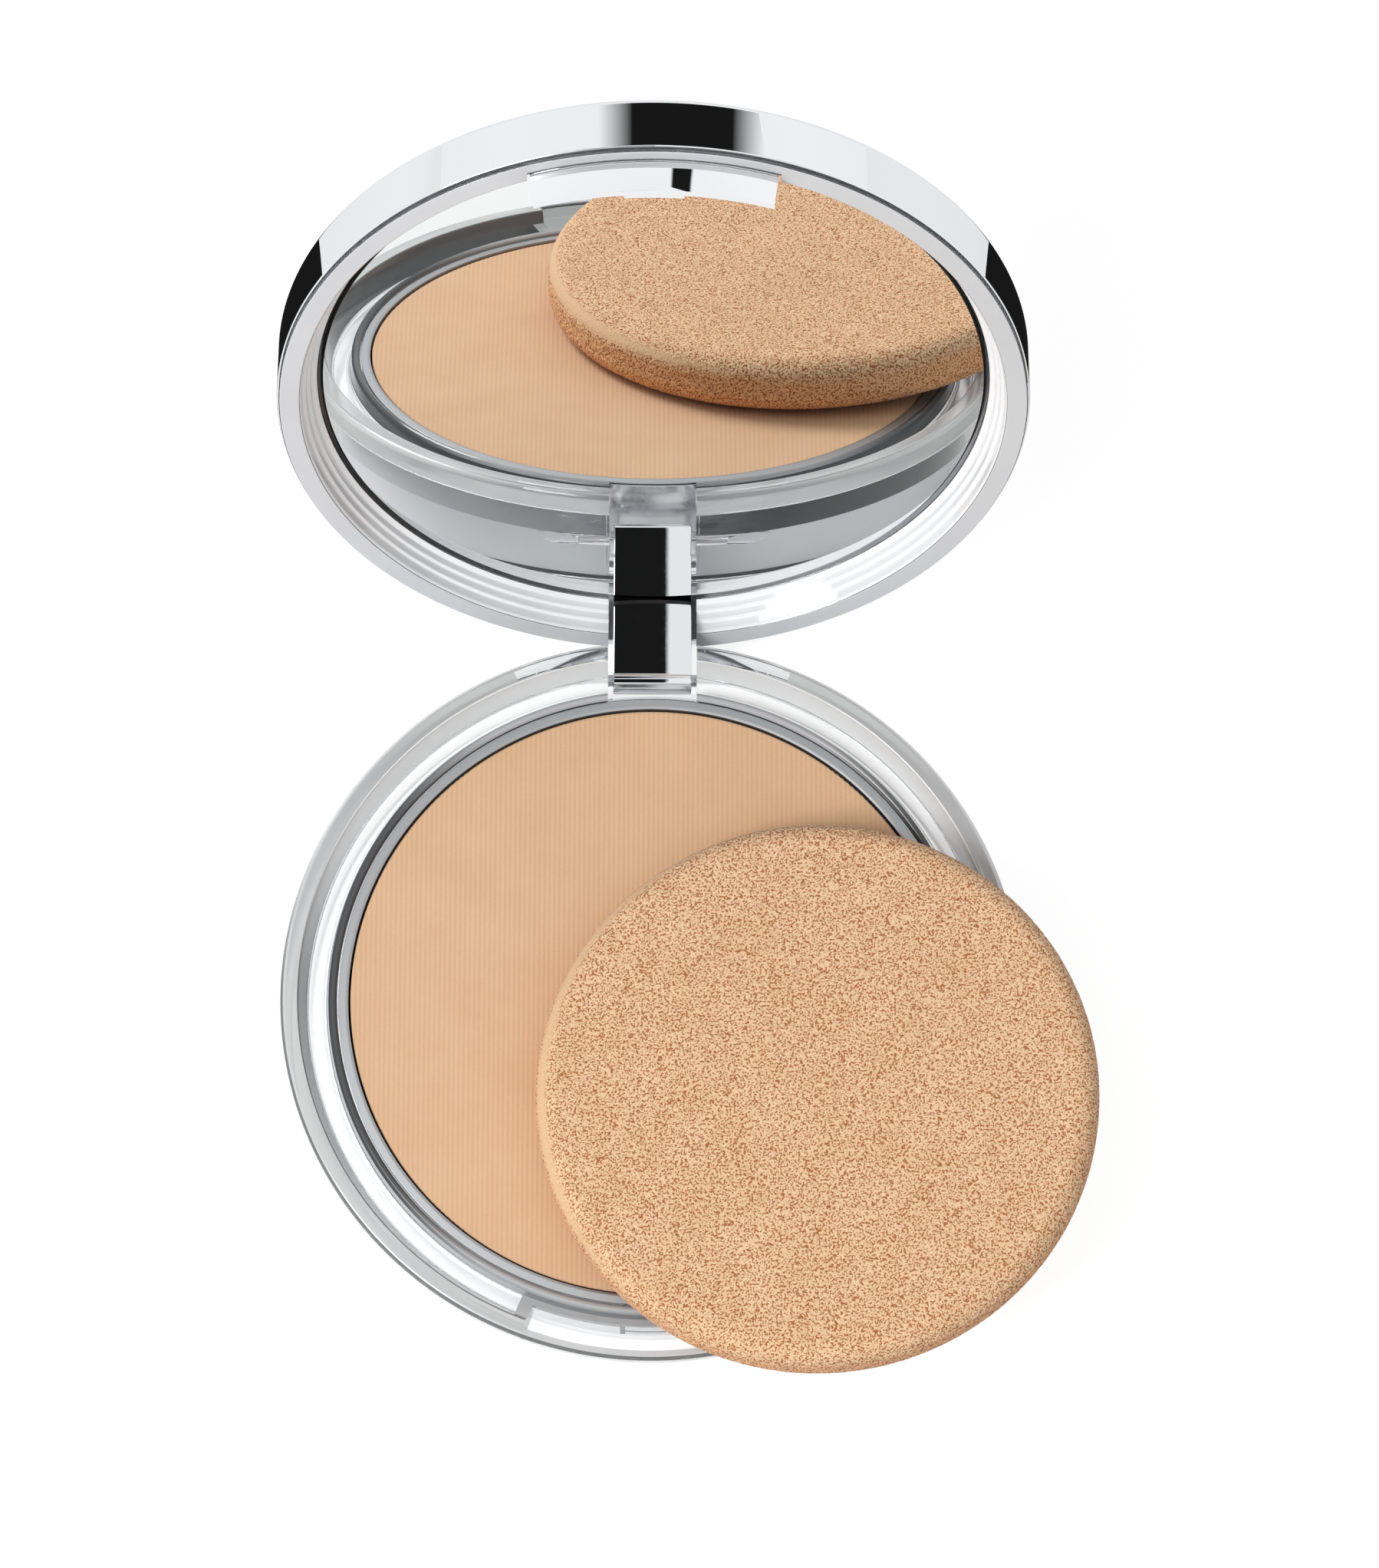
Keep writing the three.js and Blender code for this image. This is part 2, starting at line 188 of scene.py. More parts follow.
def rounded(points, radius, steps=3):
    """The closed outline with each corner replaced by a small curve, as moulded edges are."""
    out = []
    for i in range(len(points)):
        before, here, after = (Vector(points[(i + k) % len(points)]) for k in (-1, 0, 1))
        if here.x <= 0:
            out.append(tuple(here))
            continue
        reach = min(radius, *((end - here).length * 0.45 for end in (before, after)))
        a = here + (before - here).normalized() * reach
        b = here + (after - here).normalized() * reach
        for k in range(steps + 1):
            t = k / steps
            out.append(tuple((1 - t) ** 2 * a + 2 * t * (1 - t) * here + t ** 2 * b))
    return out


def new_object(name, mesh):
    obj = bpy.data.objects.new(name, mesh)
    bpy.context.scene.collection.objects.link(obj)
    return obj


def mesh_object(name, vertices, faces):
    mesh = bpy.data.meshes.new(name)
    mesh.from_pydata([tuple(v) for v in vertices], [], faces)
    mesh.update()
    return new_object(name, mesh)


def turned(name, profile, sides=ROUND):
    """Solid of revolution about Z from a closed (radius, z) outline; axis points become poles."""
    vertices, rings = [], []
    for r, z in profile:
        if r <= ON_AXIS:
            vertices.append((0, 0, z))
            rings.append([len(vertices) - 1] * sides)
        else:
            start = len(vertices)
            for k in range(sides):
                a = 2 * math.pi * k / sides
                vertices.append((r * math.cos(a), r * math.sin(a), z))
            rings.append(list(range(start, start + sides)))
    faces = []
    for low, high in zip(rings, rings[1:] + rings[:1]):
        if low[0] == low[1] and high[0] == high[1]:
            continue
        for k in range(sides):
            quad = [low[k], low[(k + 1) % sides], high[(k + 1) % sides], high[k]]
            faces.append([v for i, v in enumerate(quad) if v not in quad[:i]])
    return mesh_object(name, vertices, faces)


def extruded(name, outline, low, high, axis):
    """Prism of a closed outline. Axis X: outline is (y, z); axis Y: outline is (x, z)."""
    count = len(outline)
    place = {"X": lambda p, d: (d, p[0], p[1]), "Y": lambda p, d: (p[0], d, p[1])}[axis]
    vertices = [place(p, low) for p in outline] + [place(p, high) for p in outline]
    faces = [list(range(count)), list(range(2 * count - 1, count - 1, -1))]
    for k in range(count):
        n = (k + 1) % count
        faces.append([k, k + count, n + count, n])
    obj = mesh_object(name, vertices, faces)
    fix_normals(obj)
    return obj


def block(name, x0, x1, y0, y1, z0, z1):
    return extruded(name, [(y0, z0), (y1, z0), (y1, z1), (y0, z1)], x0, x1, "X")


def sector(name, inner, outer, low, high, half, steps=48):
    """Part of a washer with radial ends, centred on the front."""
    corners = [(inner, low), (outer, low), (outer, high), (inner, high)]
    return turned_part(name, corners, half, steps)


def turned_part(name, corners, half, steps):
    """Closed (radius, z) outline turned through half degrees to each side of the front."""
    angles = np.radians(np.linspace(FRONT - half, FRONT + half, steps + 1))
    count = len(corners)
    vertices = [(r * math.cos(a), r * math.sin(a), z) for a in angles for r, z in corners]
    faces = [list(range(count)), [count * steps + k for k in reversed(range(count))]]
    for s in range(steps):
        for k in range(count):
            a, b = count * s + k, count * s + (k + 1) % count
            faces.append([a, a + count, b + count, b])
    obj = mesh_object(name, vertices, faces)
    fix_normals(obj)
    return obj


def hinge_bar(name, radius, x0, x1, chamfer=0.0, sides=32):
    """Round bar along X on the hinge axis, with chamfered ends if asked."""
    tip = radius - chamfer
    stations = [(x0, tip), (x0 + chamfer, radius), (x1 - chamfer, radius), (x1, tip)]
    vertices = []
    for x, r in stations if chamfer else (stations[0], stations[-1]):
        for k in range(sides):
            a = 2 * math.pi * k / sides
            vertices.append((x, PIN_Y + r * math.cos(a), PIN_Z + r * math.sin(a)))
    rings = len(vertices) // sides
    faces = [list(range(sides)), list(range(rings * sides - 1, (rings - 1) * sides - 1, -1))]
    for s in range(rings - 1):
        for k in range(sides):
            a, b = s * sides + k, s * sides + (k + 1) % sides
            faces.append([a, a + sides, b + sides, b])
    obj = mesh_object(name, vertices, faces)
    fix_normals(obj)
    return obj


def fix_normals(obj):
    bm = bmesh.new()
    bm.from_mesh(obj.data)
    bmesh.ops.recalc_face_normals(bm, faces=bm.faces)
    bm.to_mesh(obj.data)
    bm.free()


def apply_modifiers(obj):
    depsgraph = bpy.context.evaluated_depsgraph_get()
    mesh = bpy.data.meshes.new_from_object(obj.evaluated_get(depsgraph))
    obj.modifiers.clear()
    old = obj.data
    obj.data = mesh
    bpy.data.meshes.remove(old)


def modified(obj, kind, **settings):
    """Adds one modifier with its settings and applies it."""
    modifier = obj.modifiers.new(kind, kind)
    for name, value in settings.items():
        setattr(modifier, name, value)
    bpy.context.view_layer.update()
    apply_modifiers(obj)


def boolean(obj, tools, operation):
    """Joins or cuts the tools, which are then deleted."""
    for tool in tools:
        modifier = obj.modifiers.new(operation, "BOOLEAN")
        modifier.operation = operation
        modifier.solver = "EXACT"
        modifier.object = tool
    bpy.context.view_layer.update()
    apply_modifiers(obj)
    for tool in tools:
        bpy.data.objects.remove(tool)
    bm = bmesh.new()
    bm.from_mesh(obj.data)
    bmesh.ops.remove_doubles(bm, verts=bm.verts, dist=WELD)
    bmesh.ops.dissolve_degenerate(bm, edges=bm.edges, dist=WELD)
    bm.to_mesh(obj.data)
    bm.free()


def bevel(obj, width, angle, segments=2):
    modified(obj, "BEVEL", width=width, segments=segments, limit_method="ANGLE",
             angle_limit=math.radians(angle))


def soften(obj, width, angle=40):
    """Small bevels on the cut edges, so that they catch the light, then smooth shading."""
    bevel(obj, width, angle)
    smooth(obj, angle)


def smooth(obj, angle=30):
    """Smooth shading in which large faces keep their own direction, so flat walls stay flat."""
    for polygon in obj.data.polygons:
        polygon.use_smooth = True
    obj.data.set_sharp_from_angle(angle=math.radians(angle))
    modified(obj, "WEIGHTED_NORMAL", mode="FACE_AREA", weight=80, keep_sharp=True)


def faces_where(obj, test):
    """Indices of the faces whose distance from the axis, middle and upward slant pass the test."""
    return [p.index for p in obj.data.polygons
            if test(math.hypot(p.center.x, p.center.y), p.center, p.normal.z)]


def second_material(obj, material, faces):
    obj.data.materials.append(material)
    for index in faces:
        obj.data.polygons[index].material_index = len(obj.data.materials) - 1


def place(obj, body, node, slot, material, lid=False):
    """Scales the mesh to metres, swings a lid piece open, ties it to its body and hides the CAD
    part of its node.
    """
    obj.data.transform(Matrix.Scale(MM, 4))
    if lid:
        opened = LID_TO_OPEN.copy()
        opened.translation *= MM
        obj.data.transform(opened)
    obj.data.materials.clear()
    obj.data.materials.append(material)
    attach(obj, body)
    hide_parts(node)


# ------------------------------------------------------------------ materials
def srgb(r, g, b):
    """An sRGB colour from 0-255 values as linear RGBA."""
    def linear(c):
        c /= 255
        return c / 12.92 if c <= 0.04045 else ((c + 0.055) / 1.055) ** 2.4
    return (linear(r), linear(g), linear(b), 1.0)


def new_material(name):
    material = bpy.data.materials.new(name)
    material.use_nodes = True
    nodes = material.node_tree.nodes
    return material, nodes, material.node_tree.links, nodes["Principled BSDF"]


def position(nodes, links, scale=(1, 1, 1)):
    """Object position in millimetres, stretched by scale."""
    coordinates = nodes.new("ShaderNodeTexCoord")
    mapping = nodes.new("ShaderNodeMapping")
    mapping.inputs["Scale"].default_value = [s / MM for s in scale]
    links.new(coordinates.outputs["Object"], mapping.inputs["Vector"])
    return mapping.outputs["Vector"]


def noise_node(nodes, links, vector, scale, detail=3, roughness=0.5):
    node = nodes.new("ShaderNodeTexNoise")
    node.inputs["Scale"].default_value = scale
    node.inputs["Detail"].default_value = detail
    node.inputs["Roughness"].default_value = roughness
    links.new(vector, node.inputs["Vector"])
    return node.outputs["Fac"]


def ramp(nodes, links, factor, stops):
    node = nodes.new("ShaderNodeValToRGB")
    while len(node.color_ramp.elements) < len(stops):
        node.color_ramp.elements.new(0.5)
    for element, (position_, colour) in zip(node.color_ramp.elements, stops):
        element.position = position_
        element.color = colour
    links.new(factor, node.inputs["Fac"])
    return node.outputs["Color"]


def grey(value):
    return (value, value, value, 1.0)


def grey_ramp(nodes, links, factor, stops):
    return ramp(nodes, links, factor, [(position_, grey(value)) for position_, value in stops])


def bump(nodes, links, height, distance, shader):
    node = nodes.new("ShaderNodeBump")
    node.inputs["Distance"].default_value = distance * MM
    links.new(height, node.inputs["Height"])
    links.new(node.outputs["Normal"], shader.inputs["Normal"])


def calculated(nodes, links, operation, *values, clamp=False):
    """Result of a Math node; each value is a number or a socket."""
    node = nodes.new("ShaderNodeMath")
    node.operation = operation
    node.use_clamp = clamp
    for socket, value in zip(node.inputs, values):
        if isinstance(value, float):
            socket.default_value = value
        else:
            links.new(value, socket)
    return node.outputs["Value"]


def attribute(nodes, name):
    node = nodes.new("ShaderNodeAttribute")
    node.attribute_name = name
    return node.outputs["Fac"]


def split_coordinates(nodes, links, kind):
    """X, Y and Z sockets of a texture coordinate."""
    coordinates = nodes.new("ShaderNodeTexCoord")
    split = nodes.new("ShaderNodeSeparateXYZ")
    links.new(coordinates.outputs[kind], split.inputs["Vector"])
    return split.outputs


def colour_mix(nodes, blend="MIX"):
    mix = nodes.new("ShaderNodeMix")
    mix.data_type = "RGBA"
    mix.blend_type = blend
    return mix


def chosen(nodes, links, switch, off, on):
    """One of two colours, by a 0 or 1 socket; each colour is a socket or a value."""
    mix = colour_mix(nodes)
    links.new(switch, mix.inputs["Factor"])
    for name, colour in (("A", off), ("B", on)):
        if isinstance(colour, tuple):
            mix.inputs[name].default_value = colour
        else:
            links.new(colour, mix.inputs[name])
    return mix.outputs["Result"]


def multiplied(nodes, links, colour, tint):
    mix = colour_mix(nodes, "MULTIPLY")
    mix.inputs["Factor"].default_value = 1.0
    links.new(colour, mix.inputs["A"])
    links.new(tint, mix.inputs["B"])
    return mix.outputs["Result"]


def along(nodes, links, axis, span, both_sides=False):
    """0 before the span and 1 after it along an object axis, or away from it to both sides."""
    coordinate = split_coordinates(nodes, links, "Object")[axis]
    if both_sides:
        coordinate = calculated(nodes, links, "ABSOLUTE", coordinate)
    reach = nodes.new("ShaderNodeMapRange")
    reach.interpolation_type = "SMOOTHSTEP"
    reach.inputs["From Min"].default_value, reach.inputs["From Max"].default_value = span
    links.new(coordinate, reach.inputs["Value"])
    return reach.outputs["Result"]


def mixed_with_clear(nodes, links, share, surface, clear_tint):
    """Output of a material that is the surface where share is 0 and see-through where it is 1."""
    mix = nodes.new("ShaderNodeMixShader")
    see_through = nodes.new("ShaderNodeBsdfTransparent")
    see_through.inputs["Color"].default_value = clear_tint
    links.new(share, mix.inputs["Fac"])
    links.new(surface, mix.inputs[1])
    links.new(see_through.outputs["BSDF"], mix.inputs[2])
    links.new(mix.outputs["Shader"], nodes["Material Output"].inputs["Surface"])


def metal(name, colour, roughness, wave, grain=(1, 1, 1), grain_scale=3.0):
    """Bright metal, faintly uneven and finely scratched, with a roughness that varies a little."""
    material, nodes, links, shader = new_material(name)
    vector = position(nodes, links, grain)
    shader.inputs["Metallic"].default_value = 1.0
    shader.inputs["Base Color"].default_value = colour
    cloud = noise_node(nodes, links, vector, grain_scale, 4)
    low, high = roughness
    links.new(grey_ramp(nodes, links, cloud, [(0.3, low), (0.7, high)]), shader.inputs["Roughness"])
    bump(nodes, links, noise_node(nodes, links, vector, grain_scale * 0.2, 2), wave, shader)
    return material


def make_clear(name, tint, haze=0.0, clearness=1.0, painted_rear_colour=None):
    """Clear moulded acrylic, faintly uneven and handled; a grey tint here is painted shade, and a
    lighter painted colour can fade in behind the middle.
    """
    material, nodes, links, shader = new_material(name)
    vector = position(nodes, links)
    shader.inputs["Base Color"].default_value = tint
    if painted_rear_colour:
        rear = along(nodes, links, "Y", REAR_FADE)
        links.new(chosen(nodes, links, rear, tint, painted_rear_colour), shader.inputs["Base Color"])
    shader.inputs["Transmission Weight"].default_value = clearness
    shader.inputs["IOR"].default_value = 1.49
    marks = noise_node(nodes, links, vector, 0.6, 3, 0.6)
    rough = grey_ramp(nodes, links, marks, [(0.65, haze), (0.85, haze + 0.02)])
    links.new(rough, shader.inputs["Roughness"])
    bump(nodes, links, noise_node(nodes, links, vector, 0.12, 1), 0.0005, shader)
    let_lamps_through(nodes, links, shader)
    return material


def let_lamps_through(nodes, links, shader):
    """Light from lamps reaches what lies behind the clear plastic."""
    path = nodes.new("ShaderNodeLightPath")
    mixed_with_clear(nodes, links, path.outputs["Is Shadow Ray"], shader.outputs["BSDF"],
                     (0.93, 0.94, 0.95, 1.0))


def make_mirror():
    """Front-silvered look of a mirror: no haze but a few dust specks."""
    material, nodes, links, shader = new_material("mirror_glass")
    vector = position(nodes, links)
    shader.inputs["Metallic"].default_value = 1.0
    shader.inputs["Base Color"].default_value = (0.955, 0.965, 0.965, 1.0)
    specks = noise_node(nodes, links, vector, 1.8, 8, 0.8)
    rough = grey_ramp(nodes, links, specks, [(0.7, 0.0), (0.8, 0.08)])
    links.new(rough, shader.inputs["Roughness"])
    return material


def set_matt(shader, roughness, specular, sheen, sheen_roughness):
    shader.inputs["Roughness"].default_value = roughness
    shader.inputs["Specular IOR Level"].default_value = specular
    shader.inputs["Sheen Weight"].default_value = sheen
    shader.inputs["Sheen Roughness"].default_value = sheen_roughness


def make_powder():
    """Pressed powder: warm beige, fine mottling, packed grain and painted shade in the rib valleys.
    """
    material, nodes, links, shader = new_material("pressed_powder")
    vector = position(nodes, links)
    set_matt(shader, 0.92, 0.2, 0.12, 0.6)
    mottle = noise_node(nodes, links, vector, 0.12, 5, 0.6)
    skin = ramp(nodes, links, mottle, [(0.35, srgb(214, 174, 137)), (0.65, srgb(218, 180, 143))])
    body = rib_shade(nodes, links, skin)
    grain = noise_node(nodes, links, vector, 9.0, 4, 0.75)
    tint = grey_ramp(nodes, links, grain, [(0.3, 0.9), (0.7, 1.0)])
    links.new(multiplied(nodes, links, body, tint), shader.inputs["Base Color"])
    bump(nodes, links, grain, 0.02, shader)
    return material


def rib_shade(nodes, links, colour):
    """Painted shade: the valleys between the ribs are coloured a little darker."""
    across = split_coordinates(nodes, links, "Object")["X"]
    phase = calculated(nodes, links, "MULTIPLY", across, 2 * math.pi / (RIB_PITCH * MM))
    wave = calculated(nodes, links, "COSINE", phase)
    reach = nodes.new("ShaderNodeMapRange")
    reach.inputs["From Min"].default_value = -1.0
    reach.inputs["To Min"].default_value = 0.94
    links.new(wave, reach.inputs["Value"])
    return multiplied(nodes, links, colour, reach.outputs["Result"])


def make_foam():
    """Latex foam: tan skin between pores coloured dark as painted shade; the pores fade out on the
    smooth side of the edge.
    """
    material, nodes, links, shader = new_material("foam")
    vector = position(nodes, links)
    set_matt(shader, 0.95, 0.15, 0.1, 0.5)
    wall = noise_node(nodes, links, vector, 0.25, 4, 0.6)
    skin = ramp(nodes, links, wall, [(0.35, srgb(221, 185, 147)), (0.65, srgb(227, 192, 155))])
    moulded = attribute(nodes, "moulded_edge")
    skin = chosen(nodes, links, moulded, skin, srgb(220, 184, 146))
    # painted shade: the sides and underside are coloured a warmer orange, as shaded foam looks
    skin = chosen(nodes, links, attribute(nodes, "painted_side_shade"), skin, srgb(236, 180, 132))
    fine = noise_node(nodes, links, vector, 5.2, 1)
    cell = grey_ramp(nodes, links, fine, [(0.4, 1.0), (0.5, 0.0)])
    cell = chosen(nodes, links, moulded, cell, grey(0.06))
    # painted shade: pores and pressed-in points are coloured dark reddish brown
    pore = calculated(nodes, links, "MULTIPLY", attribute(nodes, "pore"), 0.15)
    pit = calculated(nodes, links, "MULTIPLY_ADD", cell, 0.95, pore, clamp=True)
    links.new(chosen(nodes, links, pit, skin, srgb(156, 96, 54)), shader.inputs["Base Color"])
    bump(nodes, links, fine, 0.1, shader)
    return material


def make_lip(name, axis, span):
    """Lip of the clear ring with a painted reflection of the dark gap behind it: painted dark past
    the span.
    """
    material, nodes, links, shader = new_material(name)
    shade = along(nodes, links, axis, span, both_sides=axis == "X")
    colour = chosen(nodes, links, shade, srgb(168, 169, 171), srgb(72, 73, 75))
    links.new(colour, shader.inputs["Base Color"])
    shader.inputs["Roughness"].default_value = 0.12
    bump(nodes, links, noise_node(nodes, links, position(nodes, links), 0.8, 2), 0.001, shader)
    return material


def make_plain(name, light, dark, roughness, grain=2.0, depth=0.001):
    """Moulded plastic, paper, paint or glue: slight colour variation and a fine surface grain."""
    material, nodes, links, shader = new_material(name)
    vector = position(nodes, links)
    shader.inputs["Roughness"].default_value = roughness
    cloud = noise_node(nodes, links, vector, 0.1, 4)
    links.new(ramp(nodes, links, cloud, [(0.3, dark), (0.7, light)]), shader.inputs["Base Color"])
    bump(nodes, links, noise_node(nodes, links, vector, grain, 4), depth, shader)
    return material


def make_painted_gap_band():
    """Band of the tray's wall with a painted reflection of the dark hinge gap: painted darkest at
    the rear right.
    """
    material, nodes, links, shader = new_material("tray_band_painted_reflection")
    side = along(nodes, links, "X", DARK_SIDE_FADE)
    rear = chosen(nodes, links, side, srgb(202, 203, 205), srgb(50, 51, 53))
    reach = along(nodes, links, "Y", DARK_REAR_FADE)
    links.new(chosen(nodes, links, reach, srgb(229, 230, 232), rear), shader.inputs["Base Color"])
    shader.inputs["Roughness"].default_value = 0.25
    bump(nodes, links, noise_node(nodes, links, position(nodes, links), 2.0, 4), 0.001, shader)
    return material


CHROME = metal("bright_chrome", srgb(246, 247, 249), (0.0, 0.012), wave=0.00008)
SHELL_CHROME = metal("bright_chrome_shell", srgb(238, 239, 241), (0.0, 0.012), wave=0.00008)
STEEL = metal("pin_steel", srgb(205, 207, 210), (0.12, 0.2), wave=0.001,
              grain=(0.2, 1, 1), grain_scale=6.0)
SILVER = metal("silver_tray", srgb(222, 224, 226), (0.16, 0.24), wave=0.001)
ALUMINIUM = metal("pan_aluminium", srgb(172, 174, 176), (0.45, 0.55), wave=0.001,
                  grain=(1, 1, 6), grain_scale=4.0)
LACQUER = make_plain("silver_lacquer", srgb(248, 248, 249), srgb(244, 244, 246), 0.15)
WALL_LACQUER = make_plain("silver_wall_lacquer", srgb(232, 233, 235), srgb(226, 227, 229), 0.25)
# Painted reflection of the dark hinge gap on the tray's wall.
PAINTED_GAP_BAND = make_painted_gap_band()
# Painted shade: the tray's wall above the groove is coloured near black, like the shaded gap beside
# it.
PAINTED_SHADE_WALL = make_plain("tray_wall_painted_shade", srgb(70, 71, 73), srgb(64, 65, 67), 0.25)
RIM_SILVER = make_plain("silver_rim_face", srgb(205, 206, 208), srgb(199, 200, 203), 0.25)
FUNNEL_SILVER = make_plain("silver_funnel", srgb(240, 241, 242), srgb(234, 235, 237), 0.06,
                           depth=0.0005)
BLACK_EDGE = make_plain("black_edge_paint", grey(0.012), grey(0.008), 0.3, grain=4.0, depth=0.002)
CLEAR = make_clear("clear_acrylic", (0.99, 0.995, 0.997, 1.0))
# Painted shade: grey tint on the ring's top face, for the shaded floor under its foot seen through
# it.
CLEAR_RIM_PAINTED_SHADE = make_clear("clear_acrylic_rim_painted_shade", (0.5, 0.503, 0.506, 1.0), haze=0.15, clearness=0.35)
# Painted dark reflections: near-black tint on the ring's drafts, outer edge and latch walls,
# lighter grey behind the middle.
CLEAR_DRAFT_PAINTED_REFLECTION = make_clear("clear_acrylic_draft_painted_reflection", (0.1, 0.101, 0.102, 1.0), haze=0.1, clearness=0.35,
                         painted_rear_colour=(0.8, 0.803, 0.806, 1.0))
CLEAR_FLOOR = make_clear("clear_acrylic_floor", (0.99, 0.992, 0.994, 1.0), haze=0.2, clearness=0.5)
# Painted shade: grey tint darkens the top of the latch pocket's clear wall.
CLEAR_WALL_PAINTED_SHADE = make_clear("clear_acrylic_wall_painted_shade", (0.34, 0.342, 0.345, 1.0), haze=0.15, clearness=0.35)
LIP_TOP_SHADE = make_lip("clear_lip_top_painted_reflection", "X", LIP_TOP_FADE)
LIP_WALL_SHADE = make_lip("clear_lip_wall_painted_reflection", "Y", DARK_REAR_FADE)
MIRROR = make_mirror()
POWDER = make_powder()
FOAM = make_foam()
GREY_PLASTIC = make_plain("grey_plastic", srgb(206, 208, 210), srgb(198, 200, 203), 0.38,
                          grain=8.0, depth=0.01)
PAPER = make_plain("label_paper", srgb(246, 246, 244), srgb(238, 238, 235), 0.6,
                   grain=12.0, depth=0.01)
GLUE = make_plain("adhesive", srgb(236, 233, 224), srgb(226, 222, 212), 0.55,
                  grain=3.0, depth=0.03)


# ------------------------------------------------------------------ base
def ring_blank():
    """The clear ring before its pocket, slot and bores are cut."""
    seat_top = COVER_T + 2 * GAP
    foot = [Vector(p) for p in ((FOOT_R, 0.0), (WAIST_R - 0.5, 0.3), (WAIST_R, WAIST_Z))]
    turn = [tuple((1 - t) ** 2 * foot[0] + 2 * t * (1 - t) * foot[1] + t ** 2 * foot[2])
            for t in np.linspace(0, 1, 9)]
    section = [
        (BORE_R, seat_top), (COVER_R + GAP, seat_top), (COVER_R + GAP, 0.0), *turn,
        *((BASE_R - inset, BASE_H - depth) for inset, depth in SHOULDER),
        (RIM_IN, BASE_H), (GROOVE_OUT, GROOVE_Z + 0.2), (GROOVE_OUT - 0.2, GROOVE_Z),
        (GROOVE_IN + 0.3, GROOVE_Z), (GROOVE_IN, GROOVE_Z + 0.4),
        (GROOVE_IN - 0.15, LIP_TOP - 0.4), (GROOVE_IN - 0.5, LIP_TOP), (BORE_R, LIP_TOP - 0.3),
    ]
    return turned("clear_base_ring", rounded(section, 0.25))


def make_base_ring():
    ring = ring_blank()
    pocket_half = math.degrees(math.asin(POCKET_HALF_W / RIM_IN))
    wall_half = pocket_half + math.degrees(POCKET_BAR_W / RIM_IN)
    catch_half = math.degrees(CATCH_HALF_W / WALL_OUT_R)
    wall = sector("wall", WALL_OUT_R - WALL_T, RIM_IN + 0.3, GROOVE_Z - 0.5, WALL_TOP, wall_half)
    boolean(ring, [wall], "UNION")
    pocket = sector("pocket", WALL_OUT_R, POCKET_OUT_R, POCKET_Z, BASE_H + 1, pocket_half)
    boolean(ring, [pocket], "DIFFERENCE")
    catch = sector("catch", WALL_OUT_R - HOOK_ROOT, WALL_OUT_R + CATCH_REACH, CATCH_LOW, CATCH_HIGH,
                   catch_half, 12)
    boolean(ring, [catch], "UNION")
    slot = block("slot", -SLOT_HALF_W, SLOT_HALF_W, BORE_R - 2, LID_R + 2, SLOT_FLOOR_Z, BASE_H + 1)
    bores = hinge_bar("bores", PIN_R + BORE_CLEARANCE, -LID_R, LID_R)
    boolean(ring, [slot, bores], "DIFFERENCE")
    soften(ring, 0.09)
    shades = ring_shades(ring, wall_half + 0.5)
    place(ring, "base", "base_ring", "clear_plastic", CLEAR)
    for material, faces in shades:
        second_material(ring, material, faces)


def ring_shades(ring, latch_half):
    """Materials and faces of the clear ring; where two share a face, the later one has it."""
    above_floor = GROOVE_Z + 0.3
    steep = 0.3
    hinge_half_w = 13
    latch_y = -25

    def on_lip(r, c):
        return r < GROOVE_IN + 0.05 and c.z > above_floor

    def at_latch(r, c, outer):
        angle = abs(math.degrees(math.atan2(c.x, -c.y)))
        return c.y < latch_y and angle < latch_half and GROOVE_IN + 0.2 < r < outer

    floor = faces_where(ring, lambda r, c, up: GROOVE_IN < r < POCKET_OUT_R and up > 0.7
                        and POCKET_Z - 0.3 < c.z < above_floor)
    lip = faces_where(ring, lambda r, c, up: on_lip(r, c) and up > steep)
    lip_wall = faces_where(ring, lambda r, c, up: on_lip(r, c) and abs(up) <= steep)
    top = faces_where(ring, lambda r, c, up: r > GROOVE_IN and c.z > BASE_H - 0.5 and up > 0.5
                      and (c.y < 0 or abs(c.x) > hinge_half_w))
    wall_top = faces_where(ring, lambda r, c, up: r > GROOVE_IN and abs(c.z - WALL_TOP) < 0.1
                           and up > 0.5)
    draft = faces_where(ring, lambda r, c, up: GROOVE_OUT < r < RIM_IN + 0.2
                        and c.z > GROOVE_Z + 0.2 and 0.1 < up < 0.9)
    edge = faces_where(ring, lambda r, c, up: r > BASE_R - 0.35 and c.z > BASE_H - 0.6
                       and 0.05 < up < 0.8)
    walls = faces_where(ring, lambda r, c, up: at_latch(r, c, POCKET_OUT_R - 0.3)
                        and abs(up) < steep and above_floor < c.z < BASE_H - 0.2)
    bevels = faces_where(ring, lambda r, c, up: at_latch(r, c, POCKET_OUT_R + 0.1)
                         and 0.15 < up < 0.95 and c.z > WALL_TOP - 0.25)
    return [
        (CLEAR_FLOOR, floor), (LIP_TOP_SHADE, lip), (LIP_WALL_SHADE, lip_wall), (CLEAR_RIM_PAINTED_SHADE, top),
        (CLEAR_WALL_PAINTED_SHADE, wall_top), (CLEAR_DRAFT_PAINTED_REFLECTION, draft + edge + walls + bevels),
    ]


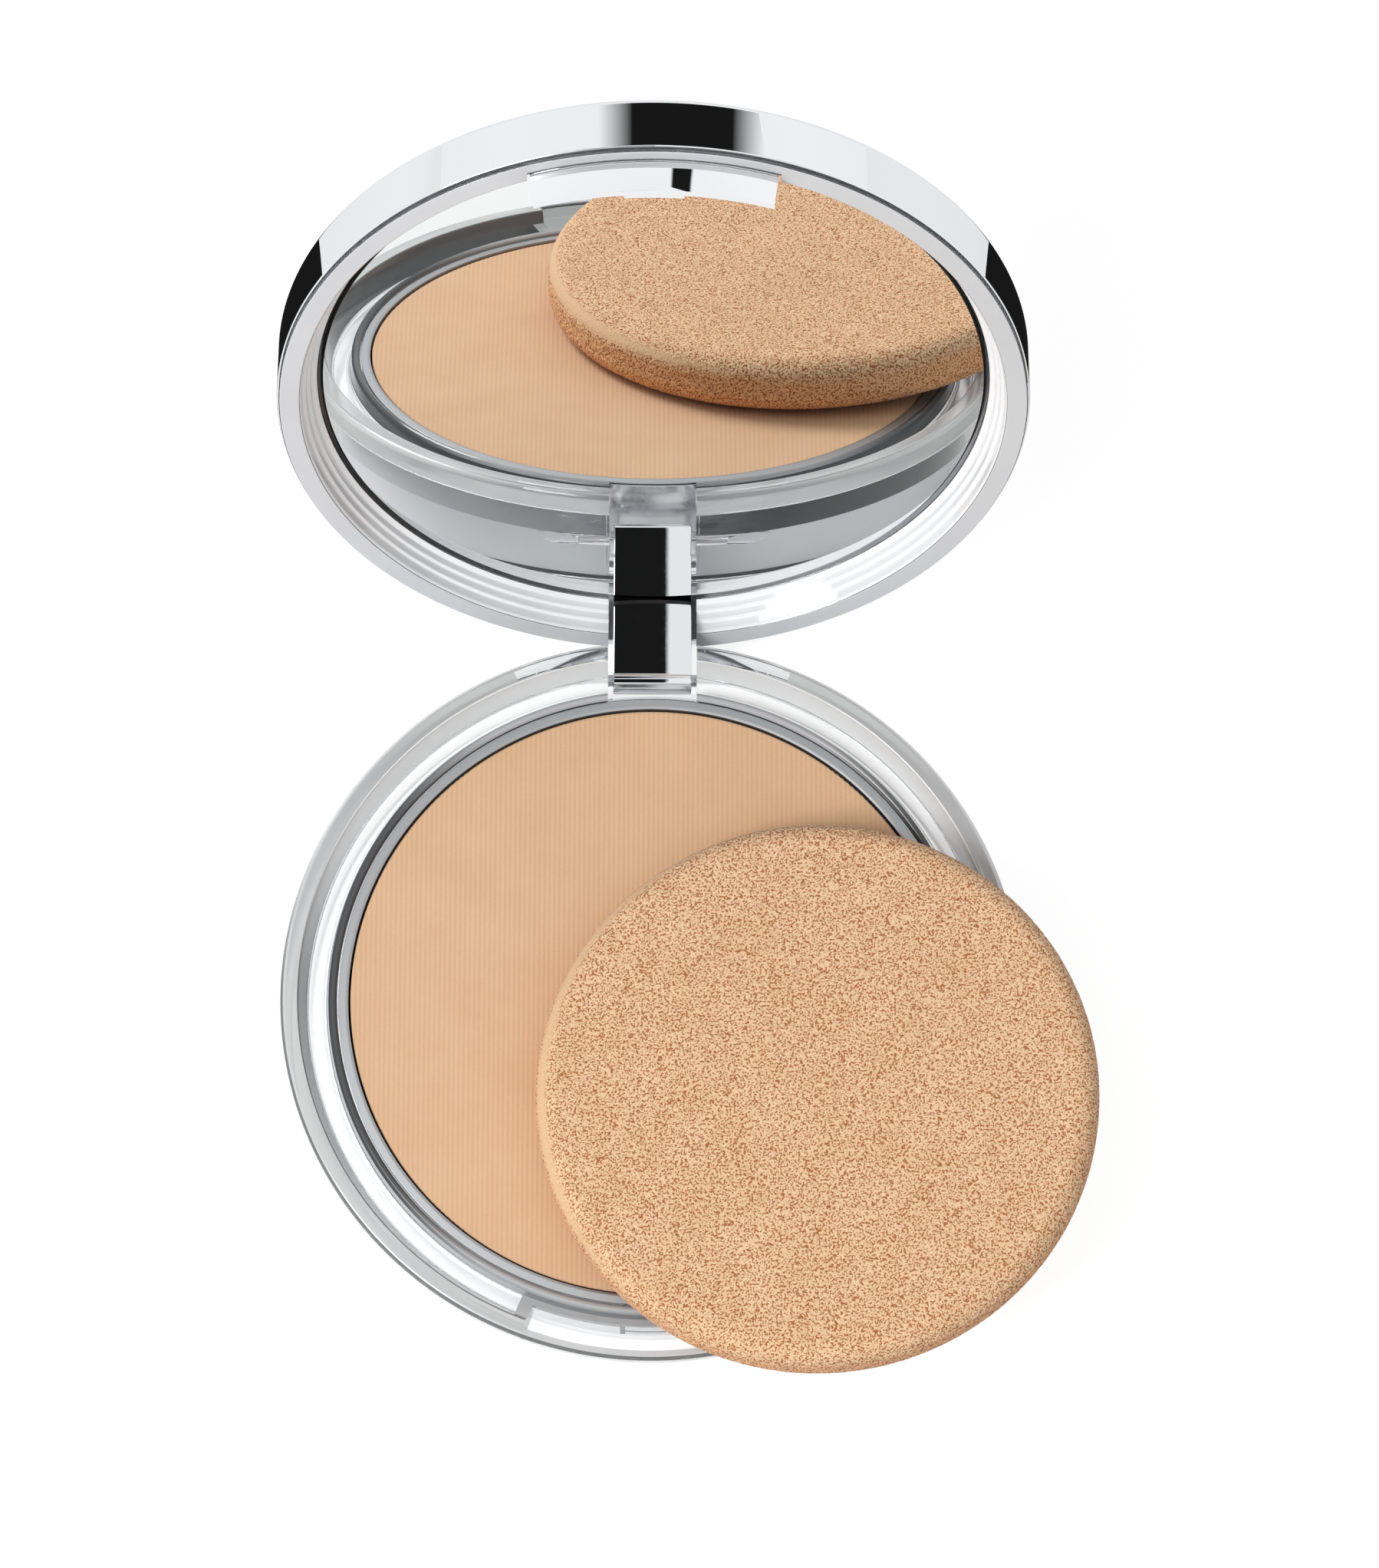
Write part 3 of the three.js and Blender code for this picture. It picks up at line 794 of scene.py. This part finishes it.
def make_inner_tray():
    outer = BORE_R - GAP
    inner = outer - TRAY_T
    top = POWDER_Z - 0.2
    foot = COVER_T + 3 * GAP
    web_top = TRAY_WEB_Z + TRAY_T
    section = [
        (0, TRAY_WEB_Z), (inner, TRAY_WEB_Z), (inner, foot), (outer, foot),
        (outer, BAND_Z), (outer, GROOVE_Z), (outer, top), (inner, top), (inner, web_top),
        (0, web_top),
    ]
    tray = turned("silver_inner_tray", rounded(section, 0.15))
    smooth(tray)
    slot_y = math.sqrt(outer ** 2 - SLOT_HALF_W ** 2)
    wall, band, upper = (
        faces_where(tray, lambda r, c, up: r > outer - 0.1 and c.y < slot_y and abs(up) < 0.5
                    and c.z > low)
        for low in (0, BAND_Z, GROOVE_Z))
    place(tray, "base", "inner_tray", "silver_tray", SILVER)
    second_material(tray, WALL_LACQUER, wall)
    # painted reflection of the hinge gap on the wall above BAND_Z
    second_material(tray, PAINTED_GAP_BAND, band)
    # painted shade on the wall above the groove
    second_material(tray, PAINTED_SHADE_WALL, upper)


def make_pan():
    inner = POWDER_R + 0.2
    outer = inner + PAN_T
    flange_r = BORE_R - 0.15
    flange_z = POWDER_Z + 0.05
    section = [
        (0, PAN_FLOOR_Z), (outer, PAN_FLOOR_Z),
        # rolled rim
        (outer, flange_z - 0.1), (flange_r, flange_z - 0.1), (flange_r, flange_z + 0.05),
        (outer, flange_z + 0.15), (inner, flange_z + 0.1),
        (inner, PAN_FLOOR_Z + PAN_T), (0, PAN_FLOOR_Z + PAN_T),
    ]
    pan = turned("aluminium_pan", rounded(section, 0.06))
    smooth(pan, 40)
    place(pan, "base", "powder_pan", "pan_metal", ALUMINIUM)


def rib_height(x):
    """Profile of the pressed ribs: rounded crests and narrower valleys."""
    wave = np.cos(2 * np.pi * x / RIB_PITCH)
    return RIB_DEPTH * (0.5 + 0.5 * wave - 1) * (1.0 - 0.25 * wave)


def make_powder_cake():
    """Round cake whose top is a fine grid of ribs that run from front to back."""
    low = PAN_FLOOR_Z + PAN_T + 0.05
    across = np.arange(-POWDER_R, POWDER_R + 1e-6, RIB_PITCH / RIB_POINTS)
    across[0], across[-1] = -POWDER_R + 0.01, POWDER_R - 0.01
    heights = POWDER_Z + rib_height(across)
    reaches = np.sqrt(POWDER_R ** 2 - across ** 2)
    vertices, faces, columns = [], [], []
    for x, z, reach in zip(across, heights, reaches):
        start = len(vertices)
        inner = max(reach - CAKE_EDGE_W, reach * 0.5)
        vertices += [(x, -reach, low), (x, -reach, z - CAKE_EDGE_DROP)]
        vertices += [(x, y, z) for y in np.linspace(-inner, inner, CAKE_ROWS)]
        vertices += [(x, reach, z - CAKE_EDGE_DROP), (x, reach, low)]
        columns.append(range(start, len(vertices)))
    for left, right in zip(columns, columns[1:]):
        for k in range(len(left) - 1):
            faces.append([left[k], right[k], right[k + 1], left[k + 1]])
        faces.append([left[-1], right[-1], right[0], left[0]])
    faces.append(list(columns[0]))
    faces.append(list(reversed(columns[-1])))
    cake = mesh_object("ribbed_powder", vertices, faces)
    fix_normals(cake)
    smooth(cake, 50)
    place(cake, "base", "powder_cake", "pressed_powder", POWDER)


def make_base_cover():
    """Flat disc with a recess for the label and a shallow moulded ring."""
    low = LABEL_T + 0.08
    step = 0.35
    section = [
        (0, low), (LABEL_R + GAP, low), (LABEL_R + GAP, 0),
        (COVER_R - 3, 0), (COVER_R - 3, step), (COVER_R - 2, step), (COVER_R - 2, 0),
        (COVER_R, 0), (COVER_R, COVER_T), (0, COVER_T),
    ]
    cover = turned("grey_base_cover", rounded(section, 0.12))
    smooth(cover)
    place(cover, "base", "base_cover", "grey_plastic", GREY_PLASTIC)


def make_label():
    section = [(0, 0), (LABEL_R, 0), (LABEL_R, LABEL_T), (0, LABEL_T)]
    label = turned("blank_label", rounded(section, 0.04))
    smooth(label)
    place(label, "base", "bottom_label", "label_paper", PAPER)


def make_glue(name, node, radius, low, high, lid):
    section = [(0, low), (radius, low), (radius, high), (0, high)]
    disc = turned(name, rounded(section, 0.1), SMALL_ROUND)
    smooth(disc)
    place(disc, "lid" if lid else "base", node, "adhesive", GLUE, lid)


def make_pin(name, node, side):
    ends = sorted((side * PIN_INNER, side * PIN_REACH))
    pin = hinge_bar(name, PIN_R, *ends, chamfer=PIN_CHAMFER)
    smooth(pin, 35)
    place(pin, "base", node, "pin_steel", STEEL)


# ------------------------------------------------------------------ lid, made closed, then opened
def make_shell():
    inner = LID_R - SHELL_T
    lip = LID_Z + 0.5
    turn = 0.9
    floor_z = LID_BACK - SHELL_T
    section = [
        (0, floor_z), (inner, floor_z), (inner, lip), (LID_R, lip),
        *arc(LID_R - turn, LID_BACK - turn, turn, 0, 86, 10),
    ]
    dome = [(LID_R * s, LID_BACK + BACK_DOME * (1 - s ** 2)) for s in np.linspace(0.93, 0, 14)]
    shell = turned("chrome_lid_shell", section + dome, FINE_ROUND)
    bevel(shell, 0.12, 60, segments=3)
    smooth(shell, 40)
    inside = faces_where(shell, lambda r, c, up: r < inner + 0.01 and c.z < floor_z + 0.01)
    place(shell, "lid", "lid_shell", "bright_metal", SHELL_CHROME, True)
    second_material(shell, LACQUER, inside)


def tab_blank(name, inner, outer, low, high, grow, draft=0.0, steps=1):
    """Curved tab whose ends lean in towards its tip."""
    top, tip = TAB_HALF_W + grow, TAB_TIP_HALF_W + grow
    outline = [(-tip, low), (tip, low), (top, LID_Z), (top, high), (-top, high), (-top, LID_Z)]
    plate = extruded("plate", outline, -LID_R, -20, "Y")
    face = [(outer - draft * (1 - t) ** 1.25, low + (high - low) * t)
            for t in np.linspace(0, 1, steps + 1)]
    tab = turned_part(name, [(inner, low), *face, (inner, high)], 30, 96)
    boolean(tab, [plate], "INTERSECT")
    return tab


def make_lid_ring():
    outer = LID_R - SHELL_T - GAP
    inner = MIRROR_R + GAP
    top = LID_BACK - SHELL_T - GAP
    lip_top = LID_Z + 0.25
    section = [
        (inner, MIRROR_Z - 0.1), *((radius, MIRROR_Z - depth) for radius, depth in FUNNEL),
        (FUNNEL_OUT_R - 0.2, LID_Z + 0.3), (FUNNEL_OUT_R, LID_Z), (LID_R - 0.3, LID_Z),
        (LID_R - 0.15, lip_top), (outer, lip_top), (outer, top), (inner, top),
    ]
    ring = turned("clear_lid_ring", rounded(section, 0.1))
    slot = block("slot", -SLOT_HALF_W, SLOT_HALF_W, MIRROR_R - 2, LID_R + 2, LID_Z - 1, LID_BACK)
    socket = tab_blank("socket", TAB_IN_R - GAP, TAB_OUT_R + 0.2, LID_Z - 1,
                       LID_Z + TAB_ROOT + GAP, GAP)
    boolean(ring, [slot, socket], "DIFFERENCE")
    soften(ring, 0.05)
    rim = faces_where(ring, lambda r, c, up: r > FUNNEL_OUT_R - 0.15 and c.z < LID_Z + 0.06
                      and up < -0.7)
    funnel = faces_where(ring, lambda r, c, up: inner + 0.15 < r < FUNNEL_OUT_R - 0.05
                         and c.z < MIRROR_Z - 0.05 and up < 0.1)
    place(ring, "lid", "lid_ring", "clear_plastic", CLEAR, True)
    second_material(ring, RIM_SILVER, rim)
    second_material(ring, FUNNEL_SILVER, set(funnel) - set(rim))


def make_mirror_disc():
    """Disc with a ground front edge; its side and back are painted black."""
    front_edge = 0.25
    back = MIRROR_Z + MIRROR_T
    section = [
        (0, MIRROR_Z), (MIRROR_R - front_edge, MIRROR_Z), (MIRROR_R, MIRROR_Z + front_edge),
        (MIRROR_R, back), (0, back),
    ]
    disc = turned("round_mirror", section, FINE_ROUND)
    smooth(disc, 20)
    edge = faces_where(disc, lambda r, c, up: c.z > MIRROR_Z + 0.01)
    place(disc, "lid", "mirror", "mirror_glass", MIRROR, True)
    second_material(disc, BLACK_EDGE, edge)


def make_strap():
    """Plate behind the mirror's edge that turns down into the knuckle."""
    inner_y = PIN_Y - KNUCKLE_R
    top = LID_BACK - SHELL_T - 0.35
    neck = TAB_OUT_R
    outline = [
        (inner_y, top), *arc(PIN_Y, PIN_Z, KNUCKLE_R, 180, 330, 30), (STRAP_OUT_Y, PIN_Z + 1.4),
        (STRAP_OUT_Y, LID_Z - 0.1), (neck, LID_Z + 0.4), (neck, top),
    ]
    strap = extruded("chrome_hinge_strap", outline, -STRAP_HALF_W, STRAP_HALF_W, "X")
    boolean(strap, [hinge_bar("bore", PIN_R + KNUCKLE_CLEARANCE, -LID_R, LID_R)], "DIFFERENCE")
    soften(strap, 0.12)
    place(strap, "lid", "hinge_strap", "bright_metal", CHROME, True)


def make_tab():
    tip = LID_Z - TAB_DROP
    root = LID_Z + TAB_ROOT
    tab = tab_blank("chrome_latch_tab", TAB_IN_R, TAB_OUT_R, tip, root, 0, TAB_DRAFT, 8)
    half = math.degrees(CATCH_HALF_W / TAB_IN_R)
    hook = sector("hook", TAB_IN_R - HOOK_REACH, TAB_IN_R + HOOK_ROOT,
                  tip + HOOK_LOW, tip + HOOK_HIGH, half, 12)
    boolean(tab, [hook], "UNION")
    soften(tab, 0.1)
    place(tab, "lid", "latch_tab", "bright_metal", CHROME, True)


# ------------------------------------------------------------------ sponge
def sponge_section():
    """Radius, height and outward direction along half the sponge's outline, from below to above."""
    half = SPONGE_T / 2
    flat = SPONGE_R - SPONGE_EDGE
    straight = SPONGE_T - 2 * SPONGE_EDGE
    quarter = SPONGE_EDGE * math.pi / 2
    length = 2 * flat + 2 * quarter + straight
    out = []
    for s in np.linspace(0, length, int(length * SKIN_STEPS)):
        if s < flat:
            out.append((s, -half, 0, -1))
        elif s < flat + quarter:
            a = (s - flat) / SPONGE_EDGE
            nr, nz = math.sin(a), -math.cos(a)
            out.append((flat + SPONGE_EDGE * nr, -half + SPONGE_EDGE * (1 + nz), nr, nz))
        elif s < flat + quarter + straight:
            out.append((SPONGE_R, -half + SPONGE_EDGE + s - flat - quarter, 1, 0))
        elif s < flat + 2 * quarter + straight:
            a = (s - flat - quarter - straight) / SPONGE_EDGE
            nr, nz = math.cos(a), math.sin(a)
            out.append((flat + SPONGE_EDGE * nr, half - SPONGE_EDGE * (1 - nz), nr, nz))
        else:
            out.append((length - s, half, 0, 1))
    return out


def fade(values, start, rate):
    """0 up to the start, then rising to 1."""
    return np.clip((values - start) * rate, 0, 1)


def make_sponge():
    """Foam disc: an evenly spaced skin pushed in at its pores."""
    rng = np.random.default_rng(7)
    vertices, normals, rings = [], [], []
    for r, z, nr, nz in sponge_section():
        count = max(1, int(2 * math.pi * r * SKIN_STEPS))
        start = len(vertices)
        for k in range(count):
            a = 2 * math.pi * (k + 0.5) / count
            vertices.append((r * math.cos(a), r * math.sin(a), z))
            normals.append((nr * math.cos(a), nr * math.sin(a), nz))
        rings.append(range(start, len(vertices)))
    faces = stitch(rings)
    points, directions = np.array(vertices), np.array(normals)
    around = directions @ np.array(MOULDED_SIDE)
    up = directions[:, 2]
    smooth_side = fade(around, 0.4, 4) * fade(-up, -0.95, 12) * fade(up, 0.3, 6)
    # painted shade: more orange the further a face turns down
    side = fade(-up, -0.45, 1.8)
    pore = np.array([pore_depth(p) for p in points]) * (1 - 0.9 * smooth_side)
    grain = rng.random(len(points))
    points -= directions * (PORE_DEPTH * pore + SKIN_GRAIN * grain)[:, None]
    sponge = mesh_object("foam_sponge", points, faces)
    for name, values in (("pore", pore), ("moulded_edge", smooth_side), ("painted_side_shade", side)):
        layer = sponge.data.attributes.new(name, "FLOAT", "POINT")
        layer.data.foreach_set("value", values.astype(np.float32))
    fix_normals(sponge)
    for polygon in sponge.data.polygons:
        polygon.use_smooth = True
    turn = Matrix.Rotation(SPONGE_PITCH, 4, "X") @ Matrix.Rotation(SPONGE_ROLL, 4, "Y")
    sponge.data.transform(Matrix.Translation(Vector(SPONGE_CENTRE)) @ turn)
    place(sponge, "sponge", "sponge", "foam", FOAM)


def pore_depth(point):
    """0 on the foam's skin, up to 1 in a pore."""
    p = Vector(point)
    value = noise.noise(p * PORE_SCALE) + 0.4 * noise.noise(p * FINE_PORE_SCALE)
    return min(1.0, max(0.0, (value - 0.1) * 2.2))


def stitch(rings):
    """Triangles between neighbouring rings whose point counts differ."""
    faces = []
    for low, high in zip(rings, rings[1:]):
        n, m = len(low), len(high)
        if n == 1 or m == 1:
            centre, ring = (low[0], high) if n == 1 else (high[0], low)
            faces += [[centre, ring[k], ring[(k + 1) % len(ring)]] for k in range(len(ring))]
            continue
        i = j = 0
        while i < n or j < m:
            if j >= m or (i < n and (i + 1) / n <= (j + 1) / m):
                faces.append([low[i % n], low[(i + 1) % n], high[j % m]])
                i += 1
            else:
                faces.append([low[i % n], high[(j + 1) % m], high[j % m]])
                j += 1
    return faces


# ------------------------------------------------------------------ studio
def make_stage():
    """Pale floor that glows like a light table, so that it stays white under the clear base."""
    material, nodes, links, shader = new_material("studio_floor")
    shader.inputs["Base Color"].default_value = grey(0.25)
    shader.inputs["Roughness"].default_value = 0.6
    path = nodes.new("ShaderNodeLightPath")
    coordinates = nodes.new("ShaderNodeTexCoord")
    reach = nodes.new("ShaderNodeVectorMath")
    reach.operation = "LENGTH"
    links.new(coordinates.outputs["Object"], reach.inputs[0])
    through = grey_ramp(nodes, links, reach.outputs["Value"], TABLE_STOPS)
    mirrored = grey_ramp(nodes, links, reach.outputs["Value"], MIRRORED_STOPS)
    glow = chosen(nodes, links, path.outputs["Is Glossy Ray"], grey(FLOOR_GLOW), mirrored)
    glow = chosen(nodes, links, path.outputs["Is Transmission Ray"], glow, through)
    glow = chosen(nodes, links, path.outputs["Is Diffuse Ray"], glow, grey(FLOOR_GLOW_ON_MATT))
    links.new(glow, shader.inputs["Emission Color"])
    shader.inputs["Emission Strength"].default_value = 1.0
    far = FLOOR_REACH
    corners = [(-far, -far, 0), (far, -far, 0), (far, far, 0), (-far, far, 0)]
    floor = mesh_object("studio_floor", corners, [[0, 1, 2, 3]])
    floor.data.materials.append(material)


def dark_card(name, across, depth, height, soft):
    """Black card seen by reflections only; it fades out at both ends of its width."""
    corners = [(x * MM, depth[k] * MM, height[k] * MM)
               for k, ends in ((0, across), (1, across[::-1])) for x in ends]
    card = mesh_object(name, corners, [[0, 1, 2, 3]])
    uv = card.data.uv_layers.new(name="card")
    for corner, place_on_card in zip(uv.data, [(0, 0), (1, 0), (1, 1), (0, 1)]):
        corner.uv = place_on_card
    material, nodes, links, shader = new_material(name)
    nodes.remove(shader)
    width = split_coordinates(nodes, links, "UV")["X"]
    stops = [(0.0, 1.0), (soft, 0.0), (1 - soft, 0.0), (1.0, 1.0)]
    fade_out = grey_ramp(nodes, links, width, stops)
    black = nodes.new("ShaderNodeEmission")
    black.inputs["Color"].default_value = grey(CARD_BLACK)
    mixed_with_clear(nodes, links, fade_out, black.outputs["Emission"], grey(1.0))
    card.data.materials.append(material)
    card.visible_camera = False
    card.visible_diffuse = False
    card.visible_transmission = False
    card.visible_shadow = False


def make_key_light():
    light = bpy.data.lights.new("key", "AREA")
    light.shape = "DISK"
    light.size = KEY_SIZE
    light.energy = KEY_POWER
    obj = new_object("key", light)
    obj.location = KEY_PLACE
    obj.rotation_mode = "QUATERNION"
    obj.rotation_quaternion = (Vector(KEY_TARGET) - Vector(KEY_PLACE)).to_track_quat("-Z", "Y")


def make_world():
    """White to the camera, a bright room in gloss, dark sides through plastic, soft sky on matt."""
    world = bpy.data.worlds.new("studio")
    bpy.context.scene.world = world
    world.use_nodes = True
    nodes, links = world.node_tree.nodes, world.node_tree.links
    path = nodes.new("ShaderNodeLightPath")
    direction = split_coordinates(nodes, links, "Generated")
    room = grey_ramp(nodes, links, direction["Z"], ROOM_STOPS)
    sides = grey_ramp(nodes, links, direction["Z"], SIDE_STOPS)
    depth = nodes.new("ShaderNodeMapRange")
    depth.inputs["From Min"].default_value = -1.0
    links.new(direction["Y"], depth.inputs["Value"])
    sky = grey_ramp(nodes, links, depth.outputs["Result"], SKY_STOPS)
    rear = grey_ramp(nodes, links, depth.outputs["Result"], REAR_STOPS)
    sides = chosen(nodes, links, rear, sides, grey(REAR_GLOW))
    seen = chosen(nodes, links, path.outputs["Is Transmission Ray"], room, sides)
    seen = chosen(nodes, links, path.outputs["Is Diffuse Ray"], seen, sky)
    seen = chosen(nodes, links, path.outputs["Is Camera Ray"], seen, grey(1.0))
    links.new(seen, nodes["Background"].inputs["Color"])


def make_camera():
    """Long lens above the front of the compact, tipped a little to one side."""
    level = math.cos(CAMERA_ELEVATION)
    back = Vector((math.sin(CAMERA_AZIMUTH) * level, -math.cos(CAMERA_AZIMUTH) * level,
                   math.sin(CAMERA_ELEVATION)))
    right = (-back).cross(Vector((0, 0, 1))).normalized()
    up = right.cross(-back)
    side = math.cos(CAMERA_ROLL) * right + math.sin(CAMERA_ROLL) * up
    top = -math.sin(CAMERA_ROLL) * right + math.cos(CAMERA_ROLL) * up
    camera = bpy.data.cameras.new("camera")
    camera.sensor_width = CAMERA_SENSOR
    camera.lens = CAMERA_LENS
    camera.clip_start, camera.clip_end = 0.05, 20
    obj = new_object("camera", camera)
    eye = Matrix.Translation(Vector(CAMERA_TARGET) + back * CAMERA_DISTANCE)
    obj.matrix_world = eye @ Matrix((side, top, back)).transposed().to_4x4()
    bpy.context.scene.camera = obj


make_camera()
make_world()
make_stage()
make_key_light()
for card in CARDS:
    dark_card(*card)

make_base_ring()
make_inner_tray()
make_glue("pan_glue", "pan_adhesive", PAN_GLUE_R, TRAY_WEB_Z + TRAY_T + 0.1,
          PAN_FLOOR_Z - 0.1, False)
make_pan()
make_powder_cake()
make_base_cover()
make_label()
make_pin("left_hinge_pin", "hinge_pin_left", -1)
make_pin("right_hinge_pin", "hinge_pin_right", 1)
make_strap()
make_shell()
make_lid_ring()
make_mirror_disc()
make_glue("mirror_glue", "mirror_adhesive", MIRROR_GLUE_R, MIRROR_Z + MIRROR_T + 0.1,
          LID_BACK - SHELL_T - 0.1, True)
make_tab()
make_sponge()

scene = bpy.context.scene
scene.view_settings.view_transform = "Standard"
scene.cycles.max_bounces = 24
scene.cycles.transmission_bounces = 24
scene.cycles.glossy_bounces = 12
scene.cycles.caustics_reflective = False
